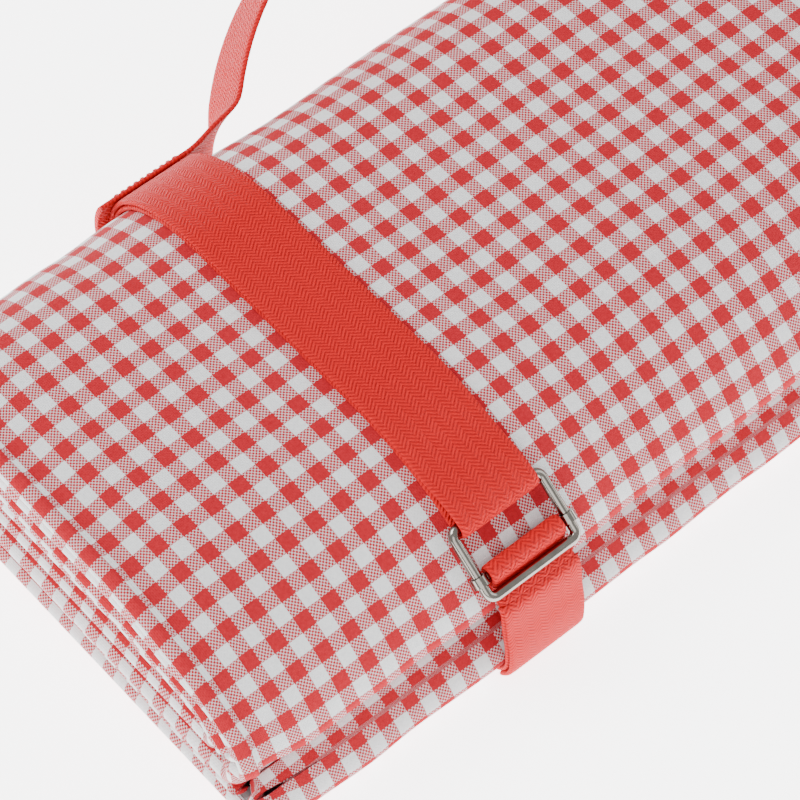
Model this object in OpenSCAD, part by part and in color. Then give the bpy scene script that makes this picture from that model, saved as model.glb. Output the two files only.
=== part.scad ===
// Rolled picnic blanket in a webbing carrier with two sliding-bar buckles and a handle.
// Frame: X along the roll, -Y the front with the buckles, +Z up, floor at Z = 0.
// The origin is the bottom middle of the whole object's box, handle included.

/* [Blanket] */
// Length of the roll, along X
roll_length = 440; // [400:10:520]
// Width of the roll, from the front to the back
roll_width = 180; // [178:2:196]
// Height of the roll's top above the floor
roll_top = 67.5; // [66:0.5:72]
// Distance from one turn of the folded blanket to the next
turn_pitch = 14.5; // [13:0.5:15]
// Thickness of the gingham cover cloth
cover_thick = 0.8; // [0.6:0.1:1.2]
// Thickness of the doubled grey backing in the middle of the fold
backing_thick = 1.6; // [1:0.2:2.4]
// Width of the hem along the open side
hem_width = 4; // [2:1:8]

/* [Webbing] */
// Width of the webbing
web_width = 29; // [28:0.5:29.5]
// Thickness of the webbing
web_thick = 1.8; // [1.5:0.1:1.9]
// Distance between the middles of the two loops
loop_pitch = 230; // [210:5:260]
// How far the handle's cut end stands out past its loop
tab_length = 4; // [2:1:8]

/* [Handle] */
// Steepest slope of the handle, degrees
handle_slope = 48; // [40:1:52]
// Bend radius where the handle leaves its seam
foot_radius = 35; // [30:1:40]
// Lean of the handle's plane above the horizontal, degrees
handle_lean = 36; // [30:1:40]

/* [Buckle] */
// Diameter of the frame's wire
wire_dia = 3.2; // [2.8:0.1:3.2]
// Distance between the middles of the frame's side wires
frame_span = 33.4; // [33.4:0.1:34.4]
// Distance between the middles of the frame's end wires
frame_reach = 22.5; // [22:0.5:24]
// Slope of the buckle, degrees
buckle_slope = 37; // [35:0.5:38]
// Diameter of the sliding bar
bar_dia = 2.6; // [2.2:0.1:2.6]
// Distance from the sliding bar to the frame's lower wire, with the strap pulled tight
bar_gap = 6.2; // [6:0.1:6.6]

/* [Hidden] */

$fn = 48;
gingham_red = [0.84, 0.27, 0.28];
wadding_white = [0.93, 0.92, 0.9];
backing_grey = [0.6, 0.61, 0.62];
webbing_red = [0.86, 0.16, 0.13];
thread_red = [0.7, 0.1, 0.1];
nickel = [0.78, 0.77, 0.74];

// Room between pieces that move against each other, and between two plies of one strap
clearance = 0.3;
ply_gap = 0.15;
ply_pitch = web_thick + ply_gap;

function unit(v) = v / norm(v);
function reversed(points) = [for (i = [len(points) - 1:-1:0]) points[i]];
function polar(radius, angle) = radius * [cos(angle), sin(angle)];

// ---- Roll section: a long front curve, a rounder back, and a low lobe at the front bottom ----
// Each curve is part of an ellipse, given by its middle [y, z] and its half sizes.

roll_base = web_thick + clearance;
half_width = roll_width / 2;
front_size = [72, roll_top - 14];
front_mid = [front_size.x - half_width, 14];
back_size = [42, 31.5];
back_mid = [half_width - back_size.x, roll_top - back_size.y];
under_size = [back_size.x, back_mid.y - roll_base];
lobe_size = [9, 9];
lobe_mid = [lobe_size.x - half_width, roll_base + lobe_size.y];

// Point at angle t on an ellipse, moved out by off along the ellipse's normal
function rim(mid, size, t, off) =
    mid + [size.x * cos(t), size.y * sin(t)] + off * unit([cos(t) / size.x, sin(t) / size.y]);
function front(t, off) = rim(front_mid, front_size, t, off);
function back(t, off) = rim(back_mid, back_size, t, off);
function under(t, off) = rim(back_mid, under_size, t, off);
function lobe(t, off) = rim(lobe_mid, lobe_size, t, off);

// ---- Blanket: a folded strip, rolled up flat ----

turns = 2;
// Once round: from the lobe under the roll, up the back, over the top and down the front
round_points = concat(
    [for (t = [165:15:270]) lobe(t, 0)],
    [for (t = [-90:9:0]) under(t, 0)],
    [for (t = [9:9:90]) back(t, 0)],
    [for (t = [90:6:174]) front(t, 0)]
);
round_count = len(round_points);
// The rolled strip has this line at its heart, and tucks in by one turn over its last points
core_z = 33;
core_ends = [-58, 57];
tuck_steps = 3;
strip_thick = turn_pitch - 0.5;
// The last turn stops before the tuck
strip_last = turns * round_count - 1 - tuck_steps;

function core_point(p) = [min(max(p.x, core_ends[0]), core_ends[1]), core_z];
function tuck(i) = max(0, i - (round_count - 1 - tuck_steps)) / tuck_steps;
// Point i of a turn, sunk below the outside of the roll towards its heart
function turn_point(turn, i, depth) =
    let (p = round_points[i], heart = core_point(p), sunk = (turn + tuck(i)) * turn_pitch + depth)
    heart + (p - heart) * (1 - sunk / core_z);
// Line of the whole roll at one depth, from its free end (start 0) or just inside that end (start 1)
function spiral(depth, start) =
    [for (k = [start:strip_last]) turn_point(floor(k / round_count), k % round_count, depth)];

module along_roll(x1, x2) {
    rotate([90, 0, 90])
        translate([0, 0, x1])
            linear_extrude(x2 - x1)
                children();
}

// Layer inside the rolled strip, between two depths, from x1 to x2 along the roll
module roll_layer(top, bottom, x1, x2) {
    along_roll(x1, x2)
        polygon(concat(spiral(top, 1), reversed(spiral(bottom, 1))));
}

left_end = -roll_length / 2;
right_end = roll_length / 2;
inner_face = strip_thick - cover_thick;
backing_depth = (strip_thick - backing_thick) / 2;
hem_start = right_end - hem_width;
fold_end = left_end + cover_thick;

// Cloth on both faces of the strip, closed at the strip's free end
module cover_cloth() {
    color(gingham_red)
        placed()
            along_roll(fold_end, right_end)
                polygon(concat(
                    reversed(spiral(0, 0)), spiral(strip_thick, 0),
                    reversed(spiral(inner_face, 1)), spiral(cover_thick, 1)
                ));
}

// The same cloth, where the folds of the strip close the left end of the roll
module cover_fold() {
    color(gingham_red)
        placed()
            along_roll(left_end, fold_end)
                polygon(concat(spiral(0, 0), reversed(spiral(strip_thick, 0))));
}

module wadding_outer() {
    color(wadding_white)
        placed()
            roll_layer(cover_thick, backing_depth, fold_end, hem_start);
}

module wadding_inner() {
    color(wadding_white)
        placed()
            roll_layer(backing_depth + backing_thick, inner_face, fold_end, hem_start);
}

module backing() {
    color(backing_grey)
        placed()
            roll_layer(backing_depth, backing_depth + backing_thick, fold_end, hem_start);
}

module hem_right() {
    color(gingham_red)
        placed()
            roll_layer(cover_thick, inner_face, hem_start, right_end);
}

// ---- Webbing: a flat ribbon along a line of [y, z] points ----

function ribbon_normal(points, i) =
    let (way = unit(points[min(i + 1, len(points) - 1)] - points[max(i - 1, 0)]))
    [-way.y, way.x];
function ribbon_face(points, off) = [for (i = [0:len(points) - 1]) points[i] + off * ribbon_normal(points, i)];
function ribbon_outline(points) =
    concat(ribbon_face(points, web_thick / 2), reversed(ribbon_face(points, -web_thick / 2)));

module ribbon(points, width) {
    rotate([90, 0, 90])
        linear_extrude(width, center = true)
            polygon(ribbon_outline(points));
}

module at_loop(side) {
    translate([side * loop_pitch / 2, 0, 0]) children();
}

// ---- Places on the buckle ----

wire_r = wire_dia / 2;
bar_r = bar_dia / 2;
// Middles of the webbing: the ply on the roll, the ply over it, and the handle's end sewn on both
inner_ply = clearance + web_thick / 2;
outer_ply = inner_ply + ply_pitch;
patch_ply = outer_ply + ply_pitch;
// The loop's end is folded round the frame's upper wire
hook_angle = 132;
fold_radius = wire_r + 0.25 + web_thick / 2;
hook = front(hook_angle, inner_ply + fold_radius);
hook_normal = hook - front(hook_angle, 0);
hook_bearing = atan2(hook_normal.y, hook_normal.x);

// Point of the buckle, by its distance down the slope from the upper wire and its height over the frame
function on_buckle(down, out) =
    hook - polar(down, buckle_slope) + polar(out, buckle_slope + 90);
// Arc in the buckle's own plane, around a wire that lies down the slope by down
function buckle_arc(down, radius, from, to, steps) = [
    for (i = [0:steps])
        let (a = from + (to - from) * i / steps)
        on_buckle(down + radius * cos(a), radius * sin(a))
];

// The strap turns round the bar, then both plies pass under the lower wire
bight_radius = bar_r + 0.15 + web_thick / 2;
near_radius = wire_r + clearance + web_thick / 2;
far_radius = near_radius + ply_pitch;
bar_down = frame_reach - bar_gap;
cross_angle = acos((near_radius + bight_radius) / bar_gap);
slant_angle = acos((bight_radius - far_radius) / bar_gap);
bight_end = frame_reach + 4.5;
run_start = bight_end + 0.6;
// Just past it they bend down onto the roll, the upper ply a little later than the lower
run_bend = run_start + 1.2;
half_bend = 27;

// ---- Loop: one strip of webbing round the roll ----

seam_angle = 2;
return_end = -34;
drop_end = -66;
settle_angle = 168;
blend_steps = 6;

function ease(x) = (1 - cos(180 * x)) / 2;

// Ply under the band, from the handle's seam forward to the buckle
return_path = concat(
    [for (t = [return_end:8:-2]) under(t, inner_ply)],
    [for (t = [6:7:90]) back(t, inner_ply)],
    [for (t = [94:6:hook_angle - 7]) front(t, inner_ply)]
);
// Round the upper wire, from the roll's side to the outside
fold_path = [for (a = [180:-15:0]) hook + polar(fold_radius, hook_bearing + a)];
// Over the top, and down the back to the handle's seam, where the loop becomes single
band_path = concat(
    [for (i = [1:blend_steps])
        front(hook_angle - 3 * i, outer_ply + (2 * fold_radius - ply_pitch) * (1 - ease(i / blend_steps)))],
    [for (t = [108:-6:90]) front(t, outer_ply)],
    [for (t = [90:-7:6]) back(t, outer_ply)],
    [for (t = [-2:-8:return_end]) under(t, outer_ply)]
);
drop_path = [
    for (i = [1:blend_steps])
        let (x = i / blend_steps)
        under(return_end + (drop_end - return_end) * x, outer_ply - ply_pitch * ease(x))
];
base_path = concat(
    [for (t = [-74:-8:-90]) under(t, inner_ply)],
    [for (t = [270:-15:180]) lobe(t, inner_ply)],
    [for (t = [178:-5:settle_angle]) front(t, inner_ply)],
    [on_buckle(run_bend, -far_radius), on_buckle(run_start, -far_radius)]
);

module strap(side) {
    color(webbing_red)
        placed()
            at_loop(side)
                ribbon(concat(return_path, fold_path, band_path, drop_path, base_path), web_width);
}

// Free end of the strap, over the loop's own run
tail_end = 228;
tail_ply = outer_ply + 0.1;
tail_path = concat(
    [on_buckle(run_start, -near_radius), on_buckle(run_bend + ply_pitch * tan(half_bend), -near_radius)],
    [for (t = [settle_angle:5:178]) front(t, tail_ply)],
    [for (t = [180:12:tail_end]) lobe(t, tail_ply)]
);

module tail(side) {
    color(webbing_red)
        placed()
            at_loop(side)
                ribbon(tail_path, web_width);
}

// Turn of the strap round the sliding bar
bight_path = concat(
    [on_buckle(bight_end, -near_radius)],
    buckle_arc(frame_reach, near_radius, 270, 180 + cross_angle, 6),
    buckle_arc(bar_down, bight_radius, cross_angle, 360 - slant_angle, 16),
    buckle_arc(frame_reach, far_radius, 360 - slant_angle, 270, 4),
    [on_buckle(bight_end, -far_radius)]
);
bight_width = web_width - 1.2;

module bight(side) {
    color(webbing_red)
        placed()
            at_loop(side)
                ribbon(bight_path, bight_width);
}

// ---- Buckle: a bent wire frame and a bar with a curled eye at each end ----

corner_radius = 2.5;
eye_wall = 0.9;
eye_length = 3;
eye_bore = wire_r + 0.15;

// Puts the X-Y plane on the buckle, with the upper wire at the origin and -Y down the slope
module on_slope() {
    translate([0, hook.x, hook.y])
        rotate([buckle_slope, 0, 0])
            children();
}

module wire_along_x(length, dia) {
    rotate([0, 90, 0])
        cylinder(h = length, d = dia, center = true);
}

module frame_side() {
    translate([frame_span / 2, -frame_reach / 2, 0])
        rotate([90, 0, 0])
            cylinder(h = frame_reach - 2 * corner_radius, d = wire_dia, center = true);
}

module frame_corner() {
    translate([frame_span / 2 - corner_radius, -corner_radius, 0])
        rotate_extrude(angle = 90)
            translate([corner_radius, 0])
                circle(d = wire_dia);
}

module frame(side) {
    color(nickel)
        placed()
            at_loop(side)
                on_slope() {
                    for (y = [0, -frame_reach])
                        translate([0, y, 0])
                            wire_along_x(frame_span - 2 * corner_radius, wire_dia);
                    for (flip = [0, 1])
                        mirror([flip, 0, 0]) {
                            frame_side();
                            frame_corner();
                            translate([0, -frame_reach, 0])
                                mirror([0, 1, 0])
                                    frame_corner();
                        }
                }
}

module bar(side) {
    color(nickel)
        placed()
            at_loop(side)
                on_slope()
                    translate([0, -bar_down, 0])
                        difference() {
                            union() {
                                wire_along_x(frame_span, bar_dia);
                                for (end = [-1, 1])
                                    translate([end * frame_span / 2, 0, 0])
                                        rotate([90, 0, 0])
                                            cylinder(h = eye_length, r = eye_bore + eye_wall, center = true);
                            }
                            for (end = [-1, 1])
                                translate([end * frame_span / 2, 0, 0])
                                    rotate([90, 0, 0])
                                        cylinder(h = eye_length + 2, r = eye_bore, center = true);
                        }
}

// ---- Handle: a strip sewn across both loops at the back, which arches between them ----

seam_half_angle = 22;
seam_path = concat(
    [for (t = [seam_half_angle:-4:2]) back(seam_angle + t, patch_ply)],
    [for (t = [-2:-4:-seam_half_angle]) under(seam_angle + t, patch_ply)]
);
seam_place = back(seam_angle, patch_ply);
seam_normal = seam_place - back(seam_angle, 0);
seam_bearing = atan2(seam_normal.y, seam_normal.x);

module patch(side) {
    color(webbing_red)
        placed()
            translate([side * (loop_pitch + tab_length) / 2, 0, 0])
                ribbon(seam_path, web_width + tab_length);
}

// Box of stitches through the patch and the loop, standing just proud of the webbing
stitch_inset = 2;
stitch_thick = 0.8;
stitch_proud = 0.35;
stitch_rise = patch_ply + web_thick / 2 + stitch_proud / 2 + 0.08;

module stitch_row(x, width, from, to) {
    path = [for (t = [from:(to - from) / 8:to + 0.01]) t];
    points = [
        for (t = path)
            t > 0 ? back(t, stitch_rise) : under(t, stitch_rise)
    ];
    translate([x, 0, 0])
        rotate([90, 0, 90])
            linear_extrude(width, center = true)
                polygon(concat(
                    [for (i = [0:8]) points[i] + stitch_proud / 2 * ribbon_normal(points, i)],
                    [for (i = [8:-1:0]) points[i] - stitch_proud / 2 * ribbon_normal(points, i)]
                ));
}

module stitch(side) {
    stitch_x = web_width / 2 - stitch_inset;
    stitch_t = seam_half_angle - 4;
    color(thread_red)
        placed()
            at_loop(side) {
                for (x = [-stitch_x, stitch_x])
                    stitch_row(x, stitch_thick, seam_angle - stitch_t, seam_angle + stitch_t);
                for (t = [-stitch_t, stitch_t])
                    stitch_row(0, 2 * stitch_x, seam_angle + t - 0.6, seam_angle + t + 0.6);
            }
}

// The handle bends up from the seam to its steepest slope, and from there over the top
arch_start = loop_pitch / 2 - web_width / 2;
hinge_x = arch_start - foot_radius * sin(handle_slope);
hinge_rise = foot_radius * (1 - cos(handle_slope));
top_radius = hinge_x / sin(handle_slope);
arch_rise = hinge_rise + top_radius * (1 - cos(handle_slope));
hinge_place = seam_place + polar(hinge_rise, handle_lean);
hinge_gap = 0.6;
root_steps = 8;

// Slice i of the strip from the seam to the hinge line, as four corners on the left side.
// The strip twists up from the seam's own facing to the handle's plane.
function root_slice(i) =
    let (slope = handle_slope * i / root_steps)
    let (lean = seam_bearing + (handle_lean - seam_bearing) * ease(i / root_steps))
    let (out = [0, cos(lean), sin(lean)])
    let (across = [0, -sin(lean), cos(lean)])
    let (proud = [-sin(slope), 0, 0] + cos(slope) * out)
    let (rise = foot_radius * (1 - cos(slope)))
    let (middle = [foot_radius * sin(slope) - arch_start, seam_place.x, seam_place.y] + rise * out)
    [for (c = [[-1, -1], [1, -1], [1, 1], [-1, 1]])
        middle + c[0] * web_width / 2 * across + c[1] * web_thick / 2 * proud];

root_corners = [for (i = [0:root_steps], corner = root_slice(i)) corner];
root_faces = concat(
    [[0, 1, 2, 3]],
    [for (i = [0:root_steps - 1], k = [0:3])
        [4 * i + k, 4 * i + 4 + k, 4 * i + 4 + (k + 1) % 4, 4 * i + (k + 1) % 4]],
    [[for (k = [3:-1:0]) 4 * root_steps + k]]
);

module root(side) {
    color(webbing_red)
        placed()
            mirror([side > 0 ? 1 : 0, 0, 0])
                difference() {
                    polyhedron(root_corners, root_faces, convexity = 4);
                    translate([-hinge_x - hinge_gap / 2, 0, 0])
                        cube([40, 600, 600]);
                }
}

// Line of the handle in its own plane, as [x, rise above the seam]
arch_steps = 24;
arch_path = concat(
    [[-hinge_x, hinge_rise] - polar(2, handle_slope)],
    [for (i = [0:arch_steps])
        let (a = handle_slope * (1 - 2 * i / arch_steps))
        [-top_radius * sin(a), arch_rise - top_radius * (1 - cos(a))]],
    [[hinge_x, hinge_rise] + polar(2, -handle_slope)]
);

module handle_arch() {
    color(webbing_red)
        placed()
            translate([0, seam_place.x, seam_place.y])
                rotate([handle_lean, 0, 0])
                    intersection() {
                        linear_extrude(web_width, center = true)
                            polygon(ribbon_outline(arch_path));
                        cube([2 * hinge_x - hinge_gap, 4 * arch_rise, 2 * web_width], center = true);
                    }
}

// ---- Place of the whole object: the origin is the middle of its depth ----

front_reach = half_width + outer_ply + web_thick / 2;
back_reach = seam_place.x + (arch_rise + web_thick / 2) * cos(handle_lean) + web_width / 2 * sin(handle_lean);

module placed() {
    translate([0, (front_reach - back_reach) / 2, 0]) children();
}

cover_cloth();
cover_fold();
wadding_outer();
wadding_inner();
backing();
hem_right();
strap(-1);  // strap_left
strap(1);  // strap_right
tail(-1);  // tail_left
tail(1);  // tail_right
bight(-1);  // bight_left
bight(1);  // bight_right
frame(-1);  // frame_left
frame(1);  // frame_right
bar(-1);  // bar_left
bar(1);  // bar_right
patch(-1);  // patch_left
patch(1);  // patch_right
stitch(-1);  // stitch_left
stitch(1);  // stitch_right
root(-1);  // root_left
root(1);  // root_right
handle_arch();
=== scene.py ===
"""Looks of a rolled picnic blanket in a webbing carrier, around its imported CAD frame.

Lengths in this script are millimetres until place() turns a point into metres in the row frame.
"""

import math

import bpy
from mathutils import Matrix, Vector, noise


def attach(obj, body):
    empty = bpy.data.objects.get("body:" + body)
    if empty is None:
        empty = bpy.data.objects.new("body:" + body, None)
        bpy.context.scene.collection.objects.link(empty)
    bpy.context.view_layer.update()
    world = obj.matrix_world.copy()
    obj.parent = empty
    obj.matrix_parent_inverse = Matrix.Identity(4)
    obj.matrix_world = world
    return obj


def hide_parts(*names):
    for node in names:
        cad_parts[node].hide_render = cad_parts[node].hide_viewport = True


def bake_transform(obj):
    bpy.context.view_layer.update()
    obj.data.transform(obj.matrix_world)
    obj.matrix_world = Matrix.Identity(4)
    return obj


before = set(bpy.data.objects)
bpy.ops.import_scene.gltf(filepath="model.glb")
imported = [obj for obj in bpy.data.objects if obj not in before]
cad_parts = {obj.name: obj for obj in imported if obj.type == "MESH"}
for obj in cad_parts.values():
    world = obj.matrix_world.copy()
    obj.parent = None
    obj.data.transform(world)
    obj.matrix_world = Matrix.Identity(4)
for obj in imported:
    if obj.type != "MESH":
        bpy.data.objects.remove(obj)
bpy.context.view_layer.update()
MM = 0.001

# ---- Camera, made first ----

TARGET = Vector((-0.104, -0.0373, 0.037))
RIGHT = Vector((0.7604, -0.6494, 0.0)).normalized()
BACK = Vector((-0.363, -0.425, 0.829)).normalized()
UP = BACK.cross(RIGHT)
DISTANCE = 1.07

camera_data = bpy.data.cameras.new("camera")
camera_data.lens = 162
camera_data.sensor_width = 36
camera = bpy.data.objects.new("camera", camera_data)
camera_turn = Matrix((RIGHT, UP, BACK)).transposed().to_4x4()
camera.matrix_world = Matrix.Translation(TARGET + DISTANCE * BACK) @ camera_turn
bpy.context.scene.collection.objects.link(camera)
bpy.context.scene.camera = camera

# ---- Sizes, the same as the CAD source ----

ROLL_LENGTH = 440
ROLL_WIDTH = 180
ROLL_TOP = 67.5
TURN_PITCH = 14.5
WEB_WIDTH = 29
WEB_THICK = 1.8
LOOP_PITCH = 230
TAB_LENGTH = 4
HANDLE_SLOPE = 48
FOOT_RADIUS = 35
HANDLE_LEAN = 36
WIRE_RADIUS = 1.6
FRAME_REACH = 22.5
BUCKLE_SLOPE = 37
BAR_RADIUS = 1.3
BAR_GAP = 6.2
CLEARANCE = 0.3
PLY_PITCH = WEB_THICK + 0.15
HALF_WEB = WEB_THICK / 2
SIDES = (("left", -1), ("right", 1))


def rad(degrees):
    """The angle in radians."""
    return math.radians(degrees)


def polar(radius, degrees):
    """The point at that distance and bearing from the origin."""
    return Vector((radius * math.cos(rad(degrees)), radius * math.sin(rad(degrees))))


def sweep(first, last, step):
    """Angles from first to last, both included, about step apart."""
    count = max(1, round(abs(last - first) / step))
    return [first + (last - first) * i / count for i in range(count + 1)]


def ease(x):
    """0 up to x = 0, 1 from x = 1, and a smooth step between."""
    return (1 - math.cos(math.pi * min(max(x, 0), 1))) / 2


# ---- Section of the roll, as [y, z] curves that are parts of ellipses ----

BASE = WEB_THICK + CLEARANCE
HALF_WIDTH = ROLL_WIDTH / 2
FRONT_SIZE = (72, ROLL_TOP - 14)
FRONT_MID = Vector((FRONT_SIZE[0] - HALF_WIDTH, 14))
BACK_SIZE = (42, 31.5)
BACK_MID = Vector((HALF_WIDTH - BACK_SIZE[0], ROLL_TOP - BACK_SIZE[1]))
UNDER_SIZE = (BACK_SIZE[0], BACK_MID.y - BASE)
LOBE_SIZE = (9, 9)
LOBE_MID = Vector((LOBE_SIZE[0] - HALF_WIDTH, BASE + LOBE_SIZE[1]))


def rim(mid, size, t, off):
    """Point at angle t of an ellipse, moved out by off along its normal."""
    c, s = math.cos(rad(t)), math.sin(rad(t))
    normal = Vector((c / size[0], s / size[1])).normalized()
    return mid + Vector((size[0] * c, size[1] * s)) + off * normal


def front(t, off=0):
    """Point of the long curve over the top and down the front, from 90 to 180 degrees."""
    return rim(FRONT_MID, FRONT_SIZE, t, off)


def back(t, off=0):
    """Point of the back above 0 degrees, or of the underside below it."""
    return rim(BACK_MID, BACK_SIZE if t > 0 else UNDER_SIZE, t, off)


def lobe(t, off=0):
    """Point of the low lobe at the bottom of the front."""
    return rim(LOBE_MID, LOBE_SIZE, t, off)


# ---- Places on the buckle and the handle ----

INNER_PLY = CLEARANCE + HALF_WEB
OUTER_PLY = INNER_PLY + PLY_PITCH
PATCH_PLY = OUTER_PLY + PLY_PITCH
HOOK_ANGLE = 132
FOLD_RADIUS = WIRE_RADIUS + 0.25 + HALF_WEB
HOOK = front(HOOK_ANGLE, INNER_PLY + FOLD_RADIUS)
HOOK_NORMAL = HOOK - front(HOOK_ANGLE)
HOOK_BEARING = math.degrees(math.atan2(HOOK_NORMAL.y, HOOK_NORMAL.x))
BIGHT_RADIUS = BAR_RADIUS + 0.15 + HALF_WEB
NEAR_RADIUS = WIRE_RADIUS + CLEARANCE + HALF_WEB
FAR_RADIUS = NEAR_RADIUS + PLY_PITCH
BAR_DOWN = FRAME_REACH - BAR_GAP
CROSS_ANGLE = math.degrees(math.acos((NEAR_RADIUS + BIGHT_RADIUS) / BAR_GAP))
SLANT_ANGLE = math.degrees(math.acos((BIGHT_RADIUS - FAR_RADIUS) / BAR_GAP))
BIGHT_END = FRAME_REACH + 4.5
SETTLE_ANGLE = 168
RETURN_END = -34
DROP_END = -66
SEAM_ANGLE = 2
SEAM_HALF = 22
SEAM = back(SEAM_ANGLE, PATCH_PLY)
SEAM_NORMAL = SEAM - back(SEAM_ANGLE)
SEAM_BEARING = math.degrees(math.atan2(SEAM_NORMAL.y, SEAM_NORMAL.x))
ARCH_START = (LOOP_PITCH - WEB_WIDTH) / 2
HINGE_X = ARCH_START - FOOT_RADIUS * math.sin(rad(HANDLE_SLOPE))
HINGE_RISE = FOOT_RADIUS * (1 - math.cos(rad(HANDLE_SLOPE)))
TOP_RADIUS = HINGE_X / math.sin(rad(HANDLE_SLOPE))
ARCH_RISE = HINGE_RISE + TOP_RADIUS * (1 - math.cos(rad(HANDLE_SLOPE)))
FRONT_REACH = HALF_WIDTH + OUTER_PLY + HALF_WEB
BACK_REACH = (
    SEAM.x
    + (ARCH_RISE + HALF_WEB) * math.cos(rad(HANDLE_LEAN))
    + WEB_WIDTH / 2 * math.sin(rad(HANDLE_LEAN))
)
SHIFT = (FRONT_REACH - BACK_REACH) / 2


def place(x, p):
    """Point of the section at x along the roll, in metres in the row frame."""
    return Vector((x, p[0] + SHIFT, p[1])) * MM


def on_buckle(down, out):
    """Point of the buckle: down its slope from the upper wire, and out from its plane."""
    return HOOK - polar(down, BUCKLE_SLOPE) + polar(out, BUCKLE_SLOPE + 90)


def buckle_arc(down, radius, first, last, step=10):
    """Arc in the buckle's own plane, around a wire that lies down the slope by down."""
    return [
        on_buckle(down + radius * math.cos(rad(a)), radius * math.sin(rad(a)))
        for a in sweep(first, last, step)
    ]


# ---- Materials ----


class Net:
    """Short calls that build one material's nodes."""

    def __init__(self, name, **constants):
        self.material = bpy.data.materials.new(name)
        self.material.use_nodes = True
        self.tree = self.material.node_tree
        self.shader = self.tree.nodes["Principled BSDF"]
        for socket, value in constants.items():
            self.shader.inputs[socket.replace("_", " ")].default_value = value

    def put(self, socket, value):
        """Links another node's output to the socket, or sets it to a constant."""
        if isinstance(value, bpy.types.NodeSocket):
            self.tree.links.new(value, socket)
        else:
            socket.default_value = value

    def node(self, kind, inputs, **settings):
        """A new node, with its inputs by name or number."""
        made = self.tree.nodes.new(kind)
        for setting, value in settings.items():
            setattr(made, setting, value)
        for key, value in inputs.items():
            self.put(made.inputs[key], value)
        return made

    def math(self, operation, a, b=0.0):
        """One sum on a and b."""
        return self.node("ShaderNodeMath", {0: a, 1: b}, operation=operation).outputs[0]

    def mix(self, share, a, b):
        """Colour a where share is 0, and b where it is 1."""
        return self.node("ShaderNodeMix", {0: share, 6: a, 7: b}, data_type="RGBA").outputs[2]

    def cloth_place(self, wobble):
        """The two distances along the cloth, in metres, with the weave's own slow unevenness."""
        uv = self.node("ShaderNodeUVMap", {}, uv_map="cloth").outputs[0]
        uneven = self.noise(uv, 45, 2)
        parts = self.node("ShaderNodeSeparateXYZ", {0: uv}).outputs
        drift = self.math("MULTIPLY", self.math("SUBTRACT", uneven, 0.5), wobble)
        return uv, self.math("ADD", parts[0], drift), self.math("SUBTRACT", parts[1], drift)

    def noise(self, place_on, scale, detail):
        """Smooth noise from 0 to 1."""
        made = self.node("ShaderNodeTexNoise", {"Vector": place_on, "Scale": scale, "Detail": detail})
        return made.outputs[0]

    def cycle(self, value, period, phase=0.0):
        """Where value lies in its repeat, from 0 to 1."""
        return self.math("FRACT", self.math("ADD", self.math("DIVIDE", value, period), phase))

    def odd(self, value, period):
        """1 on every second band of the given width."""
        return self.math("LESS_THAN", self.cycle(value, 2 * period), 0.5)

    def hump(self, value, period):
        """A rounded thread: 0 at its edges and 1 along its middle."""
        return self.math("SINE", self.math("MULTIPLY", self.cycle(value, period), math.pi))

    def either(self, chosen, a, b):
        """a where chosen is 1, and b where it is 0."""
        return self.node("ShaderNodeMix", {0: chosen, 2: b, 3: a}, data_type="FLOAT").outputs[0]

    def bump(self, height, depth, strength):
        """Relief of that depth, in metres, on the whole surface."""
        made = self.node("ShaderNodeBump", {"Strength": strength, "Distance": depth, "Height": height})
        self.tree.links.new(made.outputs[0], self.shader.inputs["Normal"])

    def colour(self, value):
        """The surface's own colour."""
        self.put(self.shader.inputs["Base Color"], value)


CHECK_X = 0.010
CHECK_S = 0.0106
THREAD = 0.000625
CHECK_PHASE = (0.297, 0.163)
BLUSH = 0.38


def gingham():
    """Plain weave, thread by thread: each crossing shows the warp or the weft, red or white."""
    net = Net("gingham_cotton", Roughness=0.9, Specular_IOR_Level=0.2)
    uv, u, v = net.cloth_place(0.0006)
    warp = net.math("LESS_THAN", net.cycle(u, CHECK_X, CHECK_PHASE[0]), 0.5)
    weft = net.math("LESS_THAN", net.cycle(v, CHECK_S, CHECK_PHASE[1]), 0.5)
    thread_s = THREAD * CHECK_S / CHECK_X
    over = net.math("COMPARE", net.odd(u, THREAD), net.odd(v, thread_s))
    is_red = net.either(over, warp, weft)
    height = net.either(over, net.hump(u, THREAD), net.hump(v, thread_s))
    tone = net.noise(uv, 900, 2)
    red = net.mix(tone, (0.34, 0.005, 0.011, 1), (0.54, 0.018, 0.03, 1))
    white = net.mix(tone, (0.66, 0.665, 0.68, 1), (0.86, 0.86, 0.86, 1))
    # White threads beside red ones look a little red
    blush = net.math("MULTIPLY", net.math("MAXIMUM", warp, weft), BLUSH)
    net.colour(net.mix(is_red, net.mix(blush, white, red), red))
    net.bump(height, 0.00018, 0.6)
    return net.material


def webbing():
    """Herringbone: slanting ribs that change their slant at every column."""
    net = Net("herringbone_webbing", Roughness=0.7, Specular_IOR_Level=0.25)
    uv, u, v = net.cloth_place(0.0002)
    column, rib, yarn_pitch = 0.0025, 0.0014, 0.0007
    lean = net.either(net.odd(u, column), u, net.math("MULTIPLY", u, -1.0))
    slant = net.math("ADD", v, net.math("MULTIPLY", lean, 0.8))
    ribs = net.hump(slant, rib)
    yarn = net.math("MULTIPLY", net.hump(v, yarn_pitch), 0.35)
    height = net.math("ADD", ribs, yarn)
    # Colour: painted shade, darker in the valleys between the ribs and lighter on their crests, mixed with
    # random tone from noise
    tone = net.math("MULTIPLY", net.math("ADD", ribs, net.noise(uv, 700, 3)), 0.5)
    net.colour(net.mix(tone, (0.36, 0.0005, 0.001, 1), (0.76, 0.002, 0.005, 1)))
    net.bump(height, 0.0005, 0.9)
    return net.material


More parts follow.
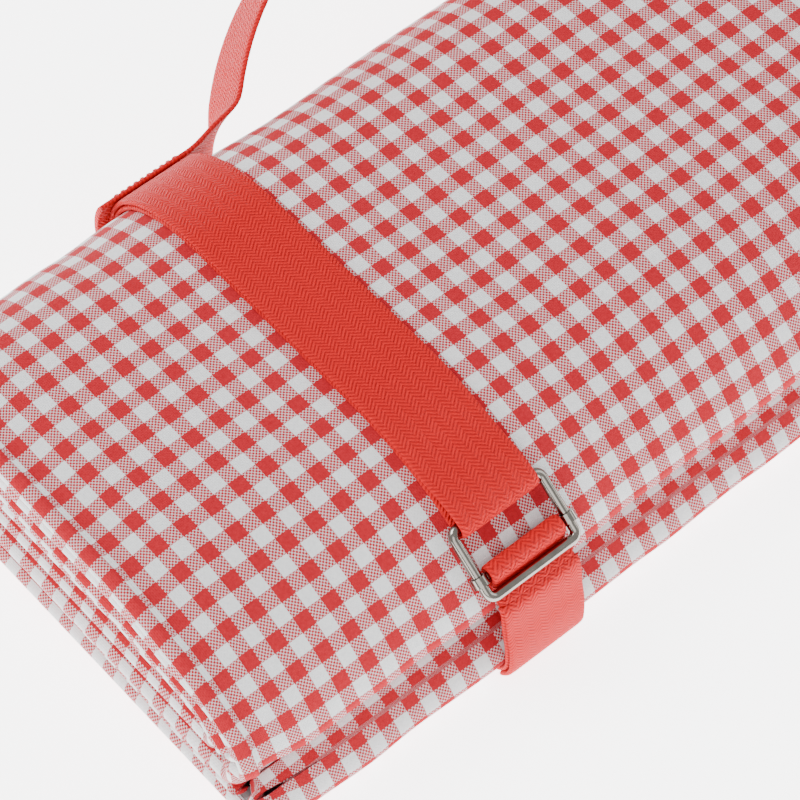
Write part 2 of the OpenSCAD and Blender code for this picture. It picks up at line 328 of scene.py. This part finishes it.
def sewing_thread():
    """Red thread with a fine twist."""
    net = Net("sewing_thread", Roughness=0.55, Sheen_Weight=0.2)
    at = net.node("ShaderNodeTexCoord", {}).outputs["Object"]
    tone = net.noise(at, 2500, 2)
    net.colour(net.mix(tone, (0.5, 0.012, 0.012, 1), (0.8, 0.05, 0.04, 1)))
    net.bump(tone, 0.0001, 0.5)
    return net.material


def coated_backing():
    """Grey coated cloth with a fine grain."""
    grain = 0.0009
    net = Net("grey_backing", Roughness=0.5, Coat_Weight=0.15)
    uv, u, v = net.cloth_place(0.0002)
    tone = net.noise(uv, 300, 3)
    net.colour(net.mix(tone, (0.20, 0.205, 0.21, 1), (0.36, 0.365, 0.37, 1)))
    net.bump(net.math("MULTIPLY", net.hump(u, grain), net.hump(v, grain)), 0.00012, 0.5)
    return net.material


def bright_nickel():
    """Plated wire with faint draw marks and a few duller places."""
    net = Net("bright_nickel", Metallic=1.0)
    at = net.node("ShaderNodeTexCoord", {}).outputs["Object"]
    worn = net.noise(at, 220, 4)
    drawn = net.noise(at, 1600, 2)
    net.colour(net.mix(worn, (0.17, 0.155, 0.135, 1), (0.36, 0.335, 0.30, 1)))
    rough = net.node("ShaderNodeMapRange", {0: worn, 1: 0.3, 2: 0.7, 3: 0.1, 4: 0.22}).outputs[0]
    net.put(net.shader.inputs["Roughness"], rough)
    net.bump(drawn, 0.00004, 0.35)
    return net.material


FLOOR_GLOW = 4.5


def studio_floor():
    """Pale, faintly glowing floor."""
    net = Net("pale_floor", Roughness=0.9, Emission_Color=(1, 1, 1, 1), Emission_Strength=FLOOR_GLOW)
    at = net.node("ShaderNodeTexCoord", {}).outputs["Object"]
    net.colour(net.mix(net.noise(at, 3, 2), (0.90, 0.90, 0.90, 1), (0.93, 0.93, 0.93, 1)))
    return net.material


GINGHAM = gingham()
WEBBING = webbing()
THREAD_RED = sewing_thread()
BACKING = coated_backing()
NICKEL = bright_nickel()

# ---- Meshes ----


def grid_mesh(name, rows, uvs, material):
    """Closed skin over rows of points. Each row is a ring, and the first and last are closed with a face.
    uvs holds one pair more than a row has points, so the ring's seam keeps its own place on the cloth."""
    ring = len(rows[0])
    faces, corners = [], []
    for i in range(len(rows) - 1):
        for k in range(ring):
            n = (k + 1) % ring
            here, there = i * ring, (i + 1) * ring
            faces.append((here + k, here + n, there + n, there + k))
            corners += [uvs[i][k], uvs[i][k + 1], uvs[i + 1][k + 1], uvs[i + 1][k]]
    last = (len(rows) - 1) * ring
    faces += [tuple(range(ring - 1, -1, -1)), tuple(range(last, last + ring))]
    corners += [uvs[0][k] for k in range(ring - 1, -1, -1)] + [uvs[-1][k] for k in range(ring)]
    mesh = bpy.data.meshes.new(name)
    mesh.from_pydata([p for row in rows for p in row], [], faces)
    layer = mesh.uv_layers.new(name="cloth")
    layer.data.foreach_set("uv", [value for pair in corners for value in pair])
    mesh.shade_smooth()
    mesh.materials.append(material)
    made = bpy.data.objects.new(name, mesh)
    bpy.context.scene.collection.objects.link(made)
    face_outwards(made)
    return made


def face_outwards(made):
    """Turns the faces over if the closed mesh is inside out."""
    volume = 0
    for face in made.data.polygons:
        corner = [made.data.vertices[i].co for i in face.vertices]
        for i in range(1, len(corner) - 1):
            volume += corner[0].dot(corner[i].cross(corner[i + 1]))
    if volume < 0:
        made.data.flip_normals()


# ---- Blanket: two padded plies with the grey backing between them, rolled up flat ----

HEART_Z = 33
HEART_ENDS = (-58, 57)
TUCK_FROM = 156
TUCK_TO = 174
TURNS = 2
STRIP_THICK = 14
END_DROOP = 2.6
HEART_FILL = 3.6
# Where the free end's fold over the other plies starts to narrow, and over what length, along the strip
FOLD_OVER = (8, 5)
# How far the folds' rounding reaches in from the left end, and over what length it grows
END_REACH = (24, 20)
FLOOR_ROOM = 0.4
LEFT_END = -ROLL_LENGTH / 2
RIGHT_END = ROLL_LENGTH / 2


def round_of_roll():
    """Points once round the roll, each with how far it has tucked in towards the next turn."""
    points = [(lobe(t), 0) for t in sweep(165, 270, 5)]
    points += [(back(t), 0) for t in sweep(-86, 90, 4)]
    points += [(front(t), ease((t - TUCK_FROM) / (TUCK_TO - TUCK_FROM))) for t in sweep(93, TUCK_TO, 3)]
    return points


ROUND = round_of_roll()
TUCK_COUNT = sum(1 for p, tuck in ROUND if tuck > 0)
STRIP = [(p, turn + tuck) for turn in range(TURNS) for p, tuck in ROUND][:-TUCK_COUNT]


def heart_of(p):
    return Vector((min(max(p.x, HEART_ENDS[0]), HEART_ENDS[1]), HEART_Z))


def sunk(p, turns, depth):
    """Point p of the roll's outside, sunk towards the heart, and the way out from there."""
    heart = heart_of(p)
    out = p - heart
    return heart + out * (1 - (turns * TURN_PITCH + depth) / HEART_Z), out.normalized()


def ply_section(top, bottom, left, right, left_round, right_round):
    """Ring of [x, depth, share of the top face] round a ply's cross-section along the roll."""
    middle, half = (top + bottom) / 2, (bottom - top) / 2
    ring = [[x, top, 1.0] for x in sweep(left + left_round, right - right_round, 5)]
    for a in sweep(90, -90, 22.5)[1:-1]:
        x = right - right_round * (1 - math.cos(rad(a)))
        ring.append([x, middle - half * math.sin(rad(a)), 0.5])
    ring += [[x, bottom, 0.0] for x in sweep(right - right_round, left + left_round, 9)]
    for a in sweep(-90, 90, 15)[1:-1]:
        x = left + left_round * (1 - math.cos(rad(a)))
        ring.append([x, middle - half * math.sin(rad(a)), 0.5])
    return ring


def swell(x, along, outermost):
    """How far the cloth stands proud: just under the webbing at the loops, and slowly uneven between them.
    It stays below the loops' own surface, because they slide along the roll."""
    near = min(abs(x - LOOP_PITCH / 2), abs(x + LOOP_PITCH / 2))
    free = ease((near - 17) / 28)
    slow = noise.noise(Vector((x * 0.021, along * 0.016, 3.1)))
    small = noise.noise(Vector((x * 0.07, along * 0.045, 7.7)))
    if not outermost:
        return 0.3 * slow
    return 0.15 - free * max(0.0, 0.7 + 1.6 * slow + 0.5 * small)


FREE_ROUND = 5


def ply(name, top, bottom, ends, rounds, material, seed, skip=0):
    """One ply of the rolled strip, as a closed padded form with rounded folds.
    skip leaves out points at the strip's free end, where the outer ply is folded over the others."""
    ring = ply_section(top, bottom, ends[0], ends[1], *rounds)
    middle = (top + bottom) / 2
    rows, uvs, along, laid, last, last_top = [], [], 0.0, 0.0, None, None
    around = [0.0]
    for a, b in zip(ring, ring[1:] + ring[:1]):
        around.append(around[-1] + math.hypot(b[0] - a[0], b[1] - a[1]))
    for p, turns in STRIP[skip:]:
        at = sunk(p, turns, top)[0]
        along += (at - last).length if last is not None else 0.0
        last = at
        edge = min(1.0, math.sqrt(1 - (1 - min(along / FREE_ROUND, 1)) ** 2) + 0.08)
        folded_over = 0 if skip else (STRIP_THICK - bottom) * (1 - ease((along - FOLD_OVER[0]) / FOLD_OVER[1]))
        uneven = 1.6 * noise.noise(Vector((along * 0.02, seed, 0.5)))
        uneven += 0.5 * noise.noise(Vector((along * 0.11, seed, 2.5)))
        heart_fill = HEART_FILL * ease(turns) if bottom == STRIP_THICK else 0
        row = []
        for x, depth, share in ring:
            deep = depth + (folded_over + heart_fill) * (1 - share)
            core = middle + (folded_over + heart_fill) / 2
            point, out = sunk(p, turns, core + (deep - core) * edge)
            lift = share * edge * swell(x, along, turns < 1 and top == 0)
            near_end = ease((LEFT_END + END_REACH[0] - x) / END_REACH[1])
            point = point + out * (lift - share * END_DROOP * near_end * (turns < 1))
            point.y = max(point.y, FLOOR_ROOM)
            row.append(place(x + near_end * (uneven + 1.2), point))
        rows.append(row)
        top_point = sunk(p, turns, core + (top - core) * edge)[0]
        laid += (top_point - last_top).length if last_top is not None else 0.0
        last_top = top_point
        start = ring[0][0]
        uvs.append([((start + a) * MM, laid * MM) for a in around])
    made = grid_mesh(name, rows, uvs, material)
    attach(made, "blanket")
    return made


FREE_SKIP = 18
outer = ply(
    "blanket_outer_ply", 0, 6.2, (LEFT_END, RIGHT_END), (6, 1.5), GINGHAM, 1.3
)
inner = ply(
    "blanket_inner_ply", 7.8, STRIP_THICK, (LEFT_END + 1, RIGHT_END), (6, 1.5),
    GINGHAM, 5.9, FREE_SKIP
)
middle = ply(
    "blanket_backing", 6.3, 7.7, (LEFT_END + 4, RIGHT_END - 1), (0.7, 0.7),
    BACKING, 9.1, FREE_SKIP
)
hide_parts("cover_cloth", "cover_fold", "wadding_outer")
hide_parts("wadding_inner", "hem_right")
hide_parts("backing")

# ---- Webbing ----


SELVEDGE = 0.9
SELVEDGE_SHARE = 0.84


def web_ring(width):
    """Ring of [across, share of half the thickness] with rounded, slightly thinner selvedges."""
    half = width / 2
    flat = half - SELVEDGE
    top = []
    for a in sweep(-flat, flat, 2):
        top.append((a, SELVEDGE_SHARE + (1 - SELVEDGE_SHARE) * ease((half - abs(a)) / 2.5)))
    right = []
    for a in (60, 30, 0, -30, -60):
        right.append((flat + SELVEDGE * math.cos(rad(a)), SELVEDGE_SHARE * math.sin(rad(a))))
    under = [(a, -n) for a, n in reversed(top)]
    left = [(-a, n) for a, n in reversed(right)]
    return top + right + under + left


def web_uvs(ring, along):
    """The ring's places on the cloth, with its first place again at its end."""
    pairs = [(a * MM, along * MM) for a, n in ring]
    return pairs + pairs[:1]


def ribbon(name, x_mid, points, width=WEB_WIDTH):
    """A strip of webbing along a line of [y, z] points."""
    ring = web_ring(width)
    rows, uvs, along = [], [], 0.0
    for i, p in enumerate(points):
        way = (points[min(i + 1, len(points) - 1)] - points[max(i - 1, 0)]).normalized()
        normal = Vector((-way.y, way.x))
        along += (p - points[i - 1]).length if i else 0.0
        rows.append([place(x_mid + a, p + n * HALF_WEB * normal) for a, n in ring])
        uvs.append(web_uvs(ring, along))
    return grid_mesh(name, rows, uvs, WEBBING)


def smooth(points, passes=2):
    """Finer line through the same run of points, with its corners eased."""
    for _ in range(passes):
        cut = [points[0]]
        for a, b in zip(points, points[1:]):
            cut += [a * 0.75 + b * 0.25, a * 0.25 + b * 0.75]
        points = cut + [points[-1]]
    return points


BLEND_STEPS = 6
# Each strip's line: under the band to the buckle, round its upper wire, back over the roll, under it
# to the front, up to the buckle's lower wire, and the free end beside that last run
RETURN_PATH = [back(t, INNER_PLY) for t in sweep(RETURN_END, 90, 5)]
RETURN_PATH += [front(t, INNER_PLY) for t in sweep(94, HOOK_ANGLE - 7, 4)]
FOLD_PATH = [HOOK + polar(FOLD_RADIUS, HOOK_BEARING + a) for a in sweep(180, 0, 12)]
BAND_PATH = [
    front(
        HOOK_ANGLE - 3 * i,
        OUTER_PLY + (2 * FOLD_RADIUS - PLY_PITCH) * (1 - ease(i / BLEND_STEPS)),
    )
    for i in range(1, BLEND_STEPS + 1)
]
BAND_PATH += [front(t, OUTER_PLY) for t in sweep(108, 94, 4)]
BAND_PATH += [back(t, OUTER_PLY) for t in sweep(90, RETURN_END, 5)]
DROP_PATH = [
    back(
        RETURN_END + (DROP_END - RETURN_END) * i / BLEND_STEPS,
        OUTER_PLY - PLY_PITCH * ease(i / BLEND_STEPS),
    )
    for i in range(1, BLEND_STEPS + 1)
]
BASE_PATH = [back(t, INNER_PLY) for t in sweep(-74, -90, 5)]
BASE_PATH += [lobe(t, INNER_PLY) for t in sweep(270, 180, 10)]
RUN_PATH = [lobe(182, INNER_PLY)] + [front(t, INNER_PLY) for t in sweep(177, SETTLE_ANGLE, 5)]
RUN_PATH += [on_buckle(BIGHT_END + 1.8, -FAR_RADIUS), on_buckle(BIGHT_END, -FAR_RADIUS)]
TAIL_PATH = [on_buckle(BIGHT_END, -NEAR_RADIUS), on_buckle(BIGHT_END + 2.5, -NEAR_RADIUS)]
TAIL_PATH += [front(t, OUTER_PLY) for t in sweep(SETTLE_ANGLE, 178, 5)]
TAIL_PATH += [lobe(t, OUTER_PLY) for t in sweep(182, 228, 8)]
BIGHT_PATH = [on_buckle(BIGHT_END, -NEAR_RADIUS)]
BIGHT_PATH += buckle_arc(FRAME_REACH, NEAR_RADIUS, 270, 180 + CROSS_ANGLE)
BIGHT_PATH += buckle_arc(BAR_DOWN, BIGHT_RADIUS, CROSS_ANGLE, 360 - SLANT_ANGLE)
BIGHT_PATH += buckle_arc(FRAME_REACH, FAR_RADIUS, 360 - SLANT_ANGLE, 270)
BIGHT_PATH += [on_buckle(BIGHT_END, -FAR_RADIUS)]

LOOP_PATH = RETURN_PATH + FOLD_PATH + BAND_PATH + DROP_PATH + BASE_PATH

for side, sign in SIDES:
    x_mid = sign * LOOP_PITCH / 2
    strap = ribbon("strap_band_" + side, x_mid, smooth(LOOP_PATH, 1))
    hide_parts("strap_" + side)
    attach(strap, "carrier")
    run = ribbon("strap_run_" + side, x_mid, smooth(RUN_PATH))
    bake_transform(run)
    tail = ribbon("tail_cut_end_" + side, x_mid, smooth(TAIL_PATH))
    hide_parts("tail_" + side)
    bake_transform(tail)
    bight = ribbon("bight_fold_" + side, x_mid, smooth(BIGHT_PATH, 1), WEB_WIDTH - 1.2)
    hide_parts("bight_" + side)
    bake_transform(bight)

# ---- Handle: each half runs from its cut end, over its loop, to the middle of the arch ----


def handle_stations():
    """Stations along the left half: [x, slope, rise, lean, share of the free flat strip]."""
    cut_end = -ARCH_START - WEB_WIDTH - TAB_LENGTH
    rows = [(x, 0, 0, SEAM_BEARING, 0) for x in sweep(cut_end, -ARCH_START, 3)]
    for slope in sweep(0, HANDLE_SLOPE, 4)[1:]:
        share = ease(slope / HANDLE_SLOPE)
        lean = SEAM_BEARING + (HANDLE_LEAN - SEAM_BEARING) * share
        x = FOOT_RADIUS * math.sin(rad(slope)) - ARCH_START
        rows.append((x, slope, FOOT_RADIUS * (1 - math.cos(rad(slope))), lean, share))
    for slope in sweep(HANDLE_SLOPE, 0, 3)[1:]:
        rise = ARCH_RISE - TOP_RADIUS * (1 - math.cos(rad(slope)))
        rows.append((-TOP_RADIUS * math.sin(rad(slope)), slope, rise, HANDLE_LEAN, 1))
    return rows


def handle_half(name, sign):
    """Half of the handle, on the left for sign -1 and on the right for sign 1."""
    ring = web_ring(WEB_WIDTH)
    rows, uvs, along, last = [], [], 0.0, None
    for x, slope, rise, lean, share in handle_stations():
        out = polar(1, lean)
        across = Vector((-out.y, out.x))
        row = []
        for a, n in ring:
            t = SEAM_ANGLE + SEAM_HALF * a / (WEB_WIDTH / 2)
            curved = back(t, PATCH_PLY + n * HALF_WEB) + rise * out
            flat = SEAM + (rise + n * HALF_WEB * math.cos(rad(slope))) * out + a * across
            at = curved.lerp(flat, share)
            row.append(place(sign * -(x - n * HALF_WEB * math.sin(rad(slope)) * share), at))
        middle_point = place(x, SEAM + rise * out)
        along += (middle_point - last).length / MM if last is not None else 0.0
        last = middle_point
        rows.append(row)
        uvs.append(web_uvs(ring, along))
    return grid_mesh(name, rows, uvs, WEBBING)


for side, sign in SIDES:
    half = handle_half("handle_" + side, sign)
    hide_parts("patch_" + side, "root_" + side, "handle_arch")
    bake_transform(half)

# ---- Stitches: a box of separate stitches through each end of the handle ----

STITCH_PITCH = 2.6
STITCH_LENGTH = 2.1
STITCH_RADIUS = 0.38
STITCH_SIDES = 6


def stitch_skin(ends, points, faces):
    """Adds one stitch, a short bead that dips at both ends, to points and faces."""
    a, b = ends
    way = (b - a).normalized()
    out = Vector((0, *polar(1, SEAM_BEARING)))
    side = way.cross(out).normalized()
    base = len(points)
    profile = ((0.0, 0.25), (0.2, 0.85), (0.5, 1.0), (0.8, 0.85), (1.0, 0.25))
    for share, size in profile:
        centre = a.lerp(b, share) + out * (size - 1) * STITCH_RADIUS * MM
        for k in range(STITCH_SIDES):
            turn = rad(360 / STITCH_SIDES * k)
            round_it = side * math.cos(turn) + out * math.sin(turn)
            points.append(centre + round_it * STITCH_RADIUS * size * MM)
    for i in range(len(profile) - 1):
        here, there = base + STITCH_SIDES * i, base + STITCH_SIDES * (i + 1)
        for k in range(STITCH_SIDES):
            n = (k + 1) % STITCH_SIDES
            faces.append((here + k, here + n, there + n, there + k))
    last = base + STITCH_SIDES * (len(profile) - 1)
    faces.append(tuple(base + k for k in range(STITCH_SIDES - 1, -1, -1)))
    faces.append(tuple(last + k for k in range(STITCH_SIDES)))


def stitch_box(side, sign):
    """The stitches on one side, as one object."""
    x_mid = sign * LOOP_PITCH / 2
    reach = WEB_WIDTH / 2 - 2
    span = SEAM_HALF - 4
    count = round(2 * reach / STITCH_PITCH)
    points, faces = [], []

    def spot(x, t):
        return place(x_mid + x, back(SEAM_ANGLE + t, PATCH_PLY + HALF_WEB + 0.1))

    for i in range(count):
        first, last = i / count, (i + STITCH_LENGTH / STITCH_PITCH) / count
        for edge in (-1, 1):
            row = [spot(reach * (2 * s - 1), edge * span) for s in (first, last)]
            column = [spot(edge * reach, span * (2 * s - 1)) for s in (first, last)]
            stitch_skin(row, points, faces)
            stitch_skin(column, points, faces)
    mesh = bpy.data.meshes.new("stitches_" + side)
    mesh.from_pydata(points, [], faces)
    mesh.shade_smooth()
    mesh.materials.append(THREAD_RED)
    made = bpy.data.objects.new("stitches_" + side, mesh)
    bpy.context.scene.collection.objects.link(made)
    face_outwards(made)
    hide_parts("stitch_" + side)
    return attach(made, "carrier")


for side, sign in SIDES:
    stitch_box(side, sign)

# ---- Metal: the CAD buckle frames and bars, with their own material ----

for side, sign in SIDES:
    for name in ("frame_", "bar_"):
        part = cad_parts[name + side]
        part.data.materials.clear()
        part.data.materials.append(NICKEL)
        part.data.shade_smooth()

# ---- Floor and light ----

FLOOR_REACH = 30.0
FLOOR_CORNERS = ((-1, -1), (1, -1), (1, 1), (-1, 1))
floor_mesh = bpy.data.meshes.new("floor")
floor_mesh.from_pydata([(FLOOR_REACH * x, FLOOR_REACH * y, 0) for x, y in FLOOR_CORNERS], [], [(0, 1, 2, 3)])
floor_mesh.materials.append(studio_floor())
floor = bpy.data.objects.new("floor", floor_mesh)
bpy.context.scene.collection.objects.link(floor)


def area_light(name, at, size, power):
    """A soft square light that faces the object."""
    data = bpy.data.lights.new(name, "AREA")
    data.size = size
    data.energy = power
    lamp = bpy.data.objects.new(name, data)
    lamp.location = at
    lamp.rotation_euler = (TARGET - Vector(at)).to_track_quat("-Z", "Y").to_euler()
    bpy.context.scene.collection.objects.link(lamp)


area_light("key_light", (-0.9, 0.9, 1.5), 1.1, 38)
area_light("front_light", (-1.1, -1.2, 1.2), 1.4, 16)
area_light("side_light", (1.3, -0.7, 1.1), 1.2, 10)

world = bpy.data.worlds.new("studio")
world.use_nodes = True
background = world.node_tree.nodes["Background"]
background.inputs["Color"].default_value = (1, 1, 1, 1)
background.inputs["Strength"].default_value = 0.75
bpy.context.scene.world = world

bpy.context.view_layer.update()
